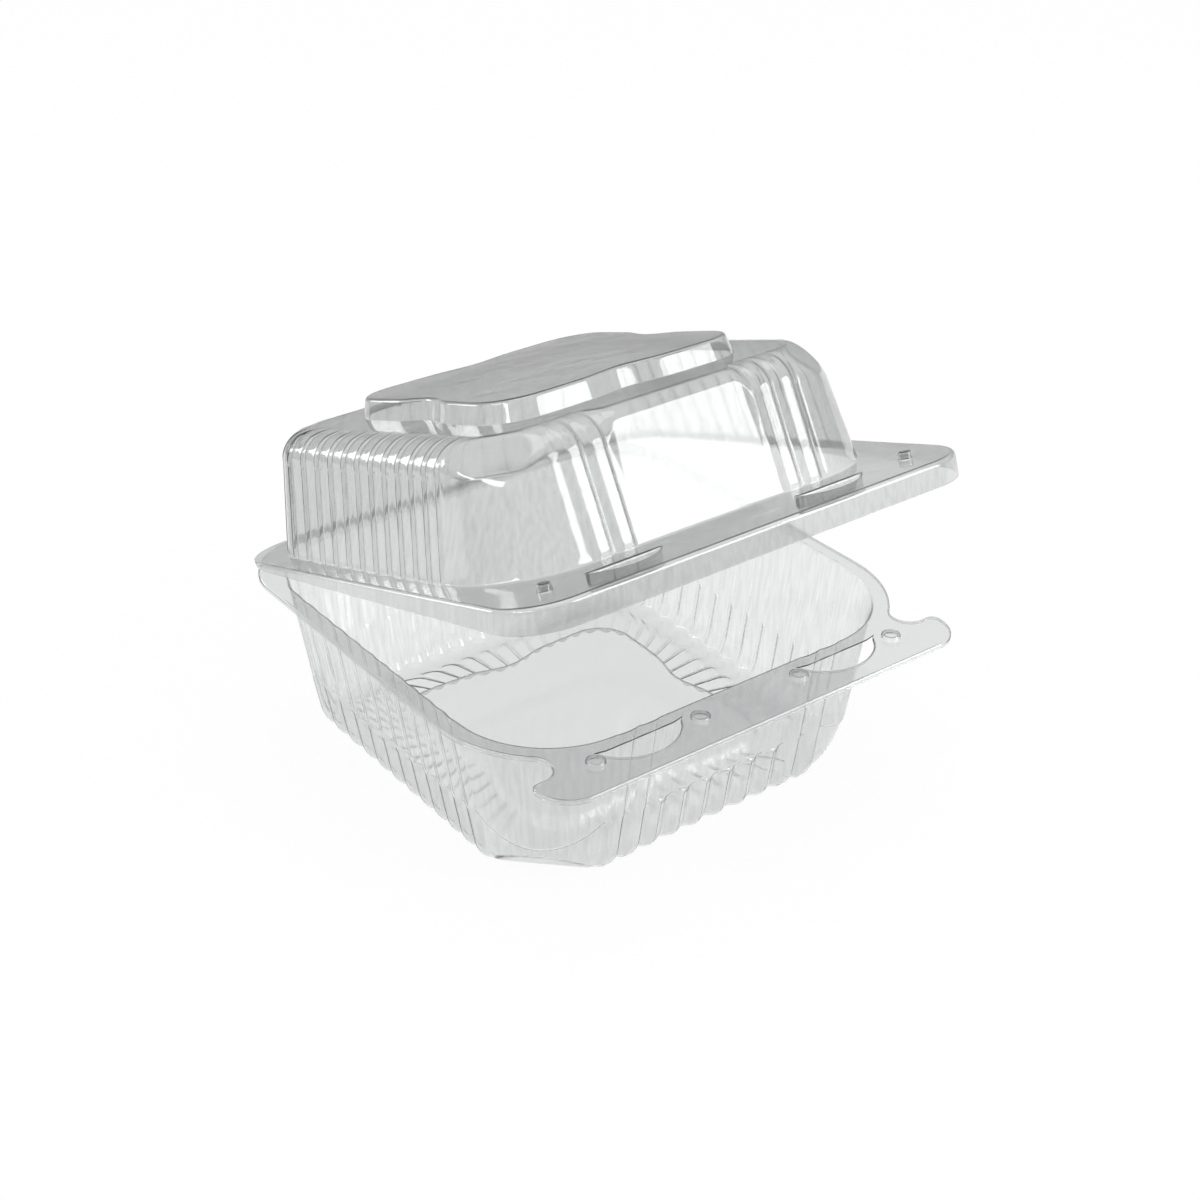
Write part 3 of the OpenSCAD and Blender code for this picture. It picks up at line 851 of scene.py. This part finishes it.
@dataclass
class Tray(FormedPart):
    """The tray: fluted walls, foot band, floor panel, rim with tab and ears, latch slots and buttons.

    panel and ear are half widths.
    """

    sizes: BodySizes = BodySizes(groove_share=0.48, flute_d=0.6, foot_flute_d=1.5)
    wall_lean: float = 4.25
    ledge_h: float = 17.5
    ledge_w: float = 0.8
    ledge_round: float = 0.5
    band_lean: float = 2.2
    band_h: float = 4.0
    band_round: float = 2.0
    foot_turn: float = 2.1
    foot_w: float = 4.0
    foot_clear: float = 0.02
    foot_round: float = 1.2
    panel: float = 39.5
    panel_r: float = 12.0
    panel_h: float = 3.4
    panel_edge: float = 1.6
    panel_dip: float = 3.0
    panel_foot_round: float = 0.6
    panel_round: float = 0.8
    rib_h: float = 1.0
    rib_start_share: float = 0.3
    rib_round: float = 1.5
    bay_sink: float = 6.0
    foot_facet: float = 12.6
    facet_growth: float = 1.0
    facet_round: float = 0.3
    ear: float = 66.6
    ear_l: float = 12.7
    ear_front_r: float = 10.0
    ear_back_r: float = 2.5
    neck_r: float = 5.0
    edge_h: float = 1.3
    edge_r: float = 0.5
    edge_steps: int = 6
    slot_lip_h: float = 1.2
    slot_lip_steps: int = 5
    button_d: float = 5.1
    button_h: float = 1.5
    button_x: float = 16.2
    button_places: tuple[int, ...] = (1, 3)
    bead_turn: tuple[float, float] = (180.0, 525.0)
    bead_steps: int = 24
    fillet_rows: int = 4

    def rings(self) -> list[Ring]:
        """The rings from the rim down to the floor panel.

        Returns:
            The rings, with heights over the floor.
        """
        s, body = self.sizes, self.wall_ring
        mid, f, g = s.sheet / 2, s.flute_d, s.foot_flute_d
        wall_end = s.rim_fillet + self.wall_lean
        ledge_end = wall_end + self.ledge_w
        band_end = ledge_end + self.band_lean
        foot_out = band_end + self.foot_turn
        foot_in = foot_out + self.foot_w
        panel_in = s.mouth - self.panel
        rib_in = mix(foot_in, panel_in, self.rib_start_share)
        foot_z = mid + self.foot_clear
        rib_z = mid + self.rib_h / 2
        panel_z = mid + self.panel_h
        rim_z = s.tray_h - mid
        r, edge = self.panel_r, self.panel_edge
        bay = {"sink": self.bay_sink, "round": self.ledge_round}
        dip = {"dip": self.panel_dip}
        return [
            body(-s.rim_start, rim_z),
            body(0, rim_z, wall=f / 2, round=s.rim_round),
            body(s.rim_fillet, rim_z - s.rim_drop, wall=f, round=s.wall_round),
            body(wall_end, self.ledge_h, wall=f, rows=7, **bay),
            body(ledge_end, self.ledge_h - self.ledge_w, foot=g, **bay),
            body(band_end, self.band_h, foot=g, round=self.band_round, rows=7),
            body(foot_out, foot_z, foot=g, round=self.foot_round, rows=4),
            body(foot_in, foot_z, round=self.foot_round, rows=2),
            Ring(rib_in, rib_z, r + edge, lift=self.rib_h, round=self.rib_round, rows=2),
            Ring(panel_in, rib_z, r, lift=self.rib_h, round=self.panel_foot_round, rows=4, **dip),
            Ring(panel_in + edge, panel_z, r - edge, round=self.panel_round, rows=2, **dip),
            Ring(panel_in + 2 * edge, panel_z, r - 2 * edge, **dip),
        ]

    def outline(self) -> Outline:
        """The rim's edge: round the tab's ears, the hollow necks behind them and the corners, by arcs.

        Returns:
            The edge from one end of the hinge round the front to the other end.
        """
        s = self.sizes
        front_r = s.mouth_r + s.rim_w + s.rim_start
        ear_y = s.tab_y + self.ear_l
        tip_r, heel_r = self.ear_front_r, self.ear_back_r
        corner = np.array([s.rim - front_r, -s.rim + front_r])
        reach, rise = front_r + self.neck_r, ear_y + self.neck_r - corner[1]
        neck = corner + [math.sqrt(reach**2 - rise**2), rise]
        touch = math.degrees(math.atan2(*(neck - corner)[::-1]))
        return both_halves([
            arc((self.ear - tip_r, s.tab_y + tip_r), tip_r, -90, 0, steps=20),
            arc((self.ear - heel_r, ear_y - heel_r), heel_r, 0, 90, steps=12),
            arc(tuple(neck), self.neck_r, 270, touch + 180, steps=20, hollow=True),
            arc(tuple(corner), front_r, touch, 0, steps=28),
            arc((s.hinge_half, s.hinge_half), s.rim_back_r, 0, 90, steps=28),
        ])

    def build(self) -> bpy.types.Object:
        """Makes the tray's sheet.

        Returns:
            The object, riding on nothing yet.
        """
        s = self.sizes
        sheet = SheetMesh()
        mid = s.sheet / 2
        rim_z = s.tray_h - mid
        profile = rounded_profile(self.rings(), self.fillet_rows)
        lean = self.wall_lean / (s.tray_h - self.ledge_h)
        facet = (self.foot_facet, self.facet_growth, self.facet_round)
        pan = pan_grid(s, plan(s, Window.FLUTED_FOOT), profile, facet, lean)
        sheet.add_grid(pan, True)
        sheet.add_fill([pan[-1, :, :2]], pan[-1, 0, 2])

        edge = self.outline()
        outs, drops = bend(self.edge_r, self.edge_steps)
        outs = np.append(outs, 0) - mid
        drops = np.append(drops, self.edge_h - mid)
        sheet.add_grid(strip(edge, outs, drops, rim_z), False)
        rim_loop = edge.moved(outs[0])

        holes = [pan[0, ::-1, :2]]
        button = Button(self.button_d / 2 - mid, self.button_h)
        for side in (-1, 1):
            holes.append(self.add_slot(sheet, side * s.latch_x, rim_z))
            for place in self.button_places:
                centre = (side * place * self.button_x, -s.mouth - s.button_row)
                holes.append(button.add(sheet, centre, rim_z))
        sheet.add_fill([rim_loop, *holes], rim_z)
        self.add_bead(sheet, rim_loop)
        return sheet.build("tray_sheet", placed_at(s, 0), s.sheet)

    def add_slot(self, sheet: SheetMesh, x: float, z: float) -> np.ndarray:
        """Adds the lip of a latch slot, a bend carried along its round side.

        Args:
            sheet: the tray's sheet.
            x: place of the latch from side to side.
            z: height of the rim.

        Returns:
            The slot's loop in the rim.
        """
        s = self.sizes
        mid = s.sheet / 2
        outs, drops = bend(self.edge_r, self.slot_lip_steps)
        rows = np.stack([slice_outline(s, x, out - mid)[:SLICE_STEPS] for out in outs])
        lip = np.dstack([rows, np.broadcast_to(z - drops[:, None], rows.shape[:2])])
        last = lip[-1:] - [0, 0, self.slot_lip_h - self.edge_r - mid]
        sheet.add_grid(np.concatenate([lip, last]), False)
        return np.concatenate([rows[0], slice_outline(s, x, 0)[SLICE_STEPS:]])

    def add_bead(self, sheet: SheetMesh, rim_loop: np.ndarray) -> None:
        """Adds the rolled bead along the hinge, most of a circle carried along the back edge.

        Args:
            sheet: the tray's sheet.
            rim_loop: the rim's loop, which starts and ends at the hinge.
        """
        s = self.sizes
        y, z = s.hinge
        angle = np.radians(np.linspace(*self.bead_turn, self.bead_steps))
        r = s.bead_r - s.sheet / 2
        roll = np.column_stack([y + r * np.cos(angle), z + r * np.sin(angle)])
        sheet.add_roll(np.concatenate([[[rim_loop[0, 1], z]], roll]), rim_loop[[0, -1], 0])


@dataclass
class Lid(FormedPart):
    """The lid: fluted dome with a raised platform, rim, sloped skirt, latch tongues and corner bumps.

    deck is the platform's half width.
    """

    # Painted shade: the lid's copy of the sheet is tinted darker than the tray's, for the less light that
    # falls on it; both are the same sheet.
    finish: ClearSheet = ClearSheet(
        "clear_pet_lid_shaded", colour="#E4E5E5", line_colour="#DBDCDC", flat_shade_colour="#E4E5E5"
    )
    rest_angle: float = 19.0
    rim_clear: float = 0.3
    dome_in: float = 2.0
    dome_lean: float = 4.4
    dome_h: float = 33.6
    dome_round: float = 0.8
    shoulder_w: float = 9.5
    shoulder_h: float = 8.0
    shoulder_round: float = 0.6
    shoulder_turn: tuple[float, float] = (6.0, 84.0)
    shoulder_rows: int = 16
    flute_end_share: float = 0.5
    window_round_share: float = 0.5
    facet_reach: float = 46.0
    facet_growth: float = -1.0
    facet_round: float = 1.6
    deck: float = 38.5
    deck_r: float = 12.0
    deck_h: float = 5.4
    deck_edge: float = 1.5
    deck_dip: float = 3.0
    deck_foot_round: float = 0.15
    deck_round: float = 0.8
    skirt_clear: float = 1.0
    skirt_front_clear: float = 1.6
    skirt_front_r: float = 15.0
    skirt_h: float = 6.2
    skirt_back_h: float = 0.6
    skirt_end: float = 56.0
    skirt_fade: float = 8.0
    skirt_least_share: float = 0.3
    skirt_r: float = 1.1
    skirt_steps: int = 7
    tongue_h: float = 3.4
    tongue_clear: float = 0.7
    tongue_fillet: float = 0.5
    bump_d: float = 3.8
    bump_h: float = 2.2
    bump_x: float = 57.0
    curl_short: float = 0.5
    curl_end: float = 60.0
    curl_steps: int = 8
    fillet_rows: int = 6

    def rings(self) -> list[Ring]:
        """The rings from the rim up to the platform.

        The shoulder is a quarter ellipse. The flutes, and how much tighter the back corners are, fade out on
        its upper part.

        Returns:
            The rings, with heights over the tray's rim.
        """
        s, body = self.sizes, self.wall_ring
        mid, f = self.rim_clear + s.sheet / 2, s.flute_d
        wall_in = self.dome_in + s.rim_fillet
        wall_end = wall_in + self.dome_lean
        wall_top = self.dome_h - self.shoulder_h
        dome_end = wall_end + self.shoulder_w
        deck_in = s.mouth - self.deck
        deck_z = self.dome_h + self.deck_h
        r, edge = self.deck_r, self.deck_edge
        dip = {"dip": self.deck_dip}
        sharp = 1 - self.window_round_share
        fade_w = 1 - self.flute_end_share
        rows = [
            body(self.dome_in - s.rim_start, mid),
            body(self.dome_in, mid, wall=f / 2, round=s.rim_round),
            body(wall_in, mid + s.rim_drop, wall=f, round=s.wall_round),
            body(
                wall_end, wall_top, wall=f, rise=sharp * self.shoulder_h, round=self.shoulder_round, rows=12
            ),
        ]
        for angle in np.radians(np.linspace(*self.shoulder_turn, self.shoulder_rows)):
            share = 1 - math.cos(angle)
            flute = f * float(1 - smooth((share - self.flute_end_share) / fade_w))
            inward, down = self.shoulder_w * share, self.shoulder_h * (1 - math.sin(angle))
            corner = s.mouth_r - wall_end - inward, s.back_tighter * min((1 - share) / fade_w, 1.0)
            window = {"push": sharp * inward, "rise": sharp * down}
            rows.append(Ring(wall_end + inward, self.dome_h - down, *corner, wall=flute, **window))
        return rows + [
            Ring(dome_end, self.dome_h, r + edge, push=sharp * self.shoulder_w, round=self.dome_round),
            Ring(deck_in - edge, self.dome_h, r + edge, round=self.deck_foot_round, rows=3, **dip),
            Ring(deck_in, deck_z, r, round=self.deck_round, rows=4, **dip),
            Ring(deck_in + edge, deck_z, r - edge, **dip),
        ]

    @property
    def back(self) -> float:
        """Back edge of the rim, where the curl leaves it."""
        return self.sizes.rim - self.sizes.curl_in + self.sizes.hinge_clear / 2

    @property
    def front(self) -> float:
        """Front face of the skirt."""
        return self.sizes.tab_y - self.skirt_front_clear - self.sizes.sheet

    def outline(self) -> Outline:
        """The skirt's outside, with an arc at each corner.

        Returns:
            The line from one end of the hinge round the front to the other end.
        """
        s = self.sizes
        half = s.rim + self.skirt_clear + s.sheet
        back_r = s.rim_back_r + self.skirt_clear + s.sheet
        front_r = self.skirt_front_r
        return both_halves([
            arc((half - front_r, self.front + front_r), front_r, -90, 0, steps=32),
            arc((half - back_r, self.back - back_r), back_r, 0, 90, steps=32),
        ])

    def skirt_depth(self, y: np.ndarray) -> np.ndarray:
        """Depth of the skirt along its line, less towards the back, with a short fade to its end.

        A fade to nothing would make slivers, so it stops at its least share.

        Args:
            y: places from front to back.

        Returns:
            The depths, which are zero past the end.
        """
        fade = smooth((self.skirt_end - y) / self.skirt_fade)
        fade = np.where(fade < self.skirt_least_share, 0, fade)
        return fade * mix(self.skirt_back_h, self.skirt_h, (self.back - y) / (self.back - self.front))

    def build(self) -> bpy.types.Object:
        """Makes the lid's sheet.

        Returns:
            The object, riding on nothing yet.
        """
        s = self.sizes
        sheet = SheetMesh()
        mid = s.sheet / 2
        rim_z = s.tray_h + self.rim_clear + mid
        profile = rounded_profile(self.rings(), self.fillet_rows)
        facet = (self.facet_reach, self.facet_growth, self.facet_round)
        pan = pan_grid(s, plan(s, Window.PLAIN), profile, facet, 0.0)
        pan = pan + [0, 0, s.tray_h]
        sheet.add_grid(pan, True)
        sheet.add_fill([pan[-1, :, :2]], pan[-1, 0, 2])

        edge = self.outline()
        outs, drops = bend(self.skirt_r, self.skirt_steps)
        depth = self.skirt_depth(edge.points[:, 1])
        share = np.append(drops / self.skirt_r, 1.0)
        fall = share[:, None] * np.minimum(self.skirt_r, depth)
        fall[-1] = depth + mid * (depth > 0)
        sheet.add_grid(strip(edge, np.append(outs, 0) - mid, fall, rim_z), False)
        rim_loop = edge.moved(outs[0] - mid)

        holes = [pan[0, ::-1, :2]]
        bump = Button(self.bump_d / 2 - mid, self.bump_h)
        for side in (-1, 1):
            holes.append(self.add_tongue(sheet, side * s.latch_x, rim_z))
            holes.append(bump.add(sheet, (side * self.bump_x, -s.mouth - s.button_row), rim_z))
        half, back = s.hinge_half - self.curl_short, rim_loop[0, 1]
        joint = np.array([[half, back], [-half, back]])
        sheet.add_fill([np.concatenate([rim_loop, joint]), *holes], rim_z)
        self.add_curl(sheet, joint, rim_z)
        return sheet.build("lid_sheet", placed_at(s, self.rest_angle), s.sheet)

    def add_tongue(self, sheet: SheetMesh, x: float, z: float) -> np.ndarray:
        """Adds a latch tongue, a slice pressed down from the rim, with a fillet above and below.

        Args:
            sheet: the lid's sheet.
            x: place of the latch from side to side.
            z: height of the rim.

        Returns:
            The tongue's loop in the rim.
        """
        wall = self.tongue_clear + self.sizes.sheet / 2
        outs, drops = bend(self.tongue_fillet, FILLET_STEPS)
        falls = np.concatenate([drops, self.tongue_h + outs])
        insets = np.concatenate([wall + outs, wall + drops])
        loops = np.stack([slice_outline(self.sizes, x, inset) for inset in insets])
        heights = np.broadcast_to(z - falls[:, None], loops.shape[:2])
        sheet.add_grid(np.dstack([loops, heights]), True)
        sheet.add_fill([loops[-1]], z - self.tongue_h)
        return loops[0]

    def add_curl(self, sheet: SheetMesh, joint: np.ndarray, rim_z: float) -> None:
        """Adds the curl of the back edge over the hinge bead, an arc carried between the joint's ends.

        Args:
            sheet: the lid's sheet.
            joint: the two ends in plan of the line where the curl leaves the rim.
            rim_z: height of the rim.
        """
        y, z = self.sizes.hinge
        start = np.array([self.back - y, rim_z - z])
        r, angle = np.linalg.norm(start), math.atan2(start[1], start[0])
        sweep = np.linspace(angle, math.radians(self.curl_end), self.curl_steps)
        roll = np.column_stack([y + r * np.cos(sweep), z + r * np.sin(sweep)])
        sheet.add_roll(np.concatenate([[[joint[0, 1], rim_z]], roll]), joint[:, 0])


@dataclass(frozen=True)
class FloorPaint:
    """Matt white paint of a studio floor, with a glow of its own for the rays that see it."""

    name: str = "white_studio_floor"
    colour: str = "#F4F4F4"
    glow_colour: str = "#FFFFFF"
    glow_share: float = 0.95

    def build(self) -> bpy.types.Material:
        """Makes the material.

        Returns:
            The material.
        """
        # Lit evenly, such a floor is white straight on, mirrored and through the sheet. The share of plain
        # paint leaves a faint shadow.
        material = bpy.data.materials.new(self.name)
        material.use_nodes = True
        tree = material.node_tree
        tree.nodes.clear()
        rays = add_node(tree, "ShaderNodeLightPath")
        seen = rays.outputs[Ray.CAMERA.value]
        for ray in (Ray.GLOSSY, Ray.TRANSMISSION):
            kinds = {0: seen, 1: rays.outputs[ray.value]}
            seen = add_node(tree, "ShaderNodeMath", kinds, operation="MAXIMUM").outputs[0]
        share = add_node(tree, "ShaderNodeMath", {0: seen, 1: self.glow_share}, operation="MULTIPLY")
        paint = add_node(tree, "ShaderNodeBsdfDiffuse", {"Color": linear(self.colour)})
        glow = add_node(tree, "ShaderNodeEmission", {"Color": linear(self.glow_colour), "Strength": 1.0})
        both = add_node(tree, "ShaderNodeMixShader", {
            0: share.outputs[0], 1: paint.outputs[0], 2: glow.outputs[0],
        })
        add_node(tree, "ShaderNodeOutputMaterial", {"Surface": both.outputs[0]})
        return material


@dataclass(frozen=True)
class CardPaper:
    """Matt grey paper of a studio card."""

    name: str = "grey_card_paper"
    colour: str = "#B4B4B4"
    roughness: float = 1.0

    def build(self) -> bpy.types.Material:
        """Makes the material.

        Returns:
            The material.
        """
        # Paper has no gloss, so the sheet's flat faces mirror an even grey.
        material = bpy.data.materials.new(self.name)
        material.use_nodes = True
        shader = material.node_tree.nodes["Principled BSDF"]
        shader.inputs["Base Color"].default_value = linear(self.colour)
        shader.inputs["Roughness"].default_value = self.roughness
        return material


@dataclass(frozen=True)
class Softbox:
    """A soft studio light, turned to the object: the way to it, its distance, size and radiance."""

    name: str
    toward: tuple[float, float, float]
    distance: float
    size: tuple[float, float]
    radiance: float

    def build(self, aim: Vector) -> bpy.types.Object:
        """Makes the light, at its distance from the point that it is turned to.

        Args:
            aim: the point.

        Returns:
            The light.
        """
        lamp = bpy.data.lights.new(self.name, "AREA")
        lamp.shape = "RECTANGLE"
        lamp.size, lamp.size_y = self.size
        lamp.energy = self.radiance * math.pi * self.size[0] * self.size[1]
        way = Vector(self.toward).normalized()
        light = bpy.data.objects.new(self.name, lamp)
        light.location = aim + self.distance * way
        light.rotation_euler = way.to_track_quat("Z", "Y").to_euler()
        light.visible_camera = False
        bpy.context.scene.collection.objects.link(light)
        return light


@dataclass
class Studio:
    """A white floor, a grey card, a grey room, soft lights and the camera."""

    floor_half: float = 1.7
    floor_drop: float = 0.0002
    floor_paint: FloorPaint = FloorPaint()
    card_at: tuple[float, float] = (0.05, 0.39)
    card_size: tuple[float, float] = (1.5, 0.09)
    card_thick: float = 0.001
    card_paper: CardPaper = CardPaper()
    lens: float = 61.8
    sensor: float = 36.0
    clip: float = 0.01
    camera_at: tuple[float, float, float] = (-0.2918, -0.3926, 0.3293)
    azimuth: float = -36.87
    elevation: float = 30.21
    aim: tuple[float, float, float] = (0.0, 0.0, 0.06)
    room: tuple[tuple[float, str], ...] = (
        (0.0, "#9A9A9A"), (0.5, "#9A9A9A"), (0.6, "#B0B0B0"), (0.75, "#DADADA"), (1.0, "#EBEBEB"),
    )
    lights: tuple[Softbox, ...] = (
        Softbox("front_right_softbox", (0.52, -0.76, 0.42), 1.2, (0.6, 0.7), 5.0),
        Softbox("back_left_softbox", (-0.42, 0.89, 0.14), 1.3, (0.4, 0.35), 4.0),
        Softbox("front_left_softbox", (-0.80, -0.04, 0.60), 1.2, (0.95, 0.16), 7.0),
        Softbox("top_softbox", (0.1, 0.15, 1.0), 1.3, (0.9, 0.9), 1.2),
    )

    def build(self) -> None:
        """Makes the floor, the card, the room, the lights and the camera."""
        scene = bpy.context.scene
        scene.view_settings.view_transform = "Standard"
        self.build_floor()
        self.build_card()
        self.build_room(scene)
        for light in self.lights:
            light.build(Vector(self.aim))
            LOG.info("light %s", light.name)
        self.build_camera(scene)

    def build_floor(self) -> None:
        """Makes the floor, a square just under the object."""
        half = self.floor_half
        mesh = bpy.data.meshes.new("floor")
        corners = [(-half, -half, 0), (half, -half, 0), (half, half, 0), (-half, half, 0)]
        mesh.from_pydata(corners, [], [(0, 1, 2, 3)])
        mesh.materials.append(self.floor_paint.build())
        floor = bpy.data.objects.new("floor", mesh)
        floor.location.z = -self.floor_drop
        bpy.context.scene.collection.objects.link(floor)

    def build_card(self) -> None:
        """Makes a grey card behind the object, seen only in the sheet, so that its flat faces read grey."""
        card = SheetMesh()
        half, top = self.card_size[0] / 2 / MM, self.card_size[1] / MM
        corners = np.array([[-half, 0, 0], [half, 0, 0], [half, 0, top], [-half, 0, top]])
        card.add(corners, np.array([[0, 1, 2, 3]]))
        x, y = self.card_at
        way = math.atan2(x, y)
        c, s = math.cos(way) * MM, math.sin(way) * MM
        place = np.array([[c, s, 0, x], [-s, c, 0, y], [0, 0, MM, 0], [0, 0, 0, 1]])
        board = card.build("grey_card", place, self.card_thick / MM)
        board.data.materials.append(self.card_paper.build())
        board.visible_camera = False
        board.visible_diffuse = False
        board.visible_shadow = False

    def build_room(self, scene: bpy.types.Scene) -> None:
        """Makes the room round the floor: dark grey at the horizon and paler overhead.

        Args:
            scene: the scene.
        """
        world = bpy.data.worlds.new("studio_room")
        scene.world = world
        world.use_nodes = True
        tree = world.node_tree
        place = add_node(tree, "ShaderNodeTexCoord")
        split = add_node(tree, "ShaderNodeSeparateXYZ", {0: place.outputs["Generated"]})
        height = add_node(tree, "ShaderNodeMapRange", {
            "Value": split.outputs["Z"], "From Min": -1.0, "From Max": 1.0,
        })
        ramp = add_node(tree, "ShaderNodeValToRGB", {0: height.outputs[0]})
        stops = ramp.color_ramp.elements
        # New stops start in the middle, and all get their places after that.
        while len(stops) < len(self.room):
            stops.new(0.5)
        for stop, (at, colour) in zip(stops, self.room):
            stop.position = at
            stop.color = linear(colour)
        tree.links.new(ramp.outputs[0], tree.nodes["Background"].inputs["Color"])

    def build_camera(self, scene: bpy.types.Scene) -> None:
        """Makes the camera, with no depth of field.

        Args:
            scene: the scene.
        """
        lens = bpy.data.cameras.new("camera")
        lens.lens = self.lens
        lens.sensor_width = self.sensor
        lens.clip_start = self.clip
        camera = bpy.data.objects.new("camera", lens)
        a, e = math.radians(self.azimuth), math.radians(self.elevation)
        back = Vector((math.sin(a) * math.cos(e), -math.cos(a) * math.cos(e), math.sin(e)))
        camera.location = self.camera_at
        camera.rotation_euler = back.to_track_quat("Z", "Y").to_euler()
        scene.collection.objects.link(camera)
        scene.camera = camera


def main() -> None:
    """Builds the object and the studio."""
    logging.basicConfig(level=logging.INFO, format="%(name)s: %(message)s")
    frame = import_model()
    LOG.info("nodes %s", sorted(frame["nodes"]))
    for node, part in (("tray", Tray()), ("lid", Lid())):
        piece = part.build()
        part.dress(piece)
        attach(piece, node)
        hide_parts(node)
        LOG.info("piece %s: %d faces", piece.name, len(piece.data.polygons))
    Studio().build()
    bpy.context.view_layer.update()


if __name__ == "__main__":
    main()
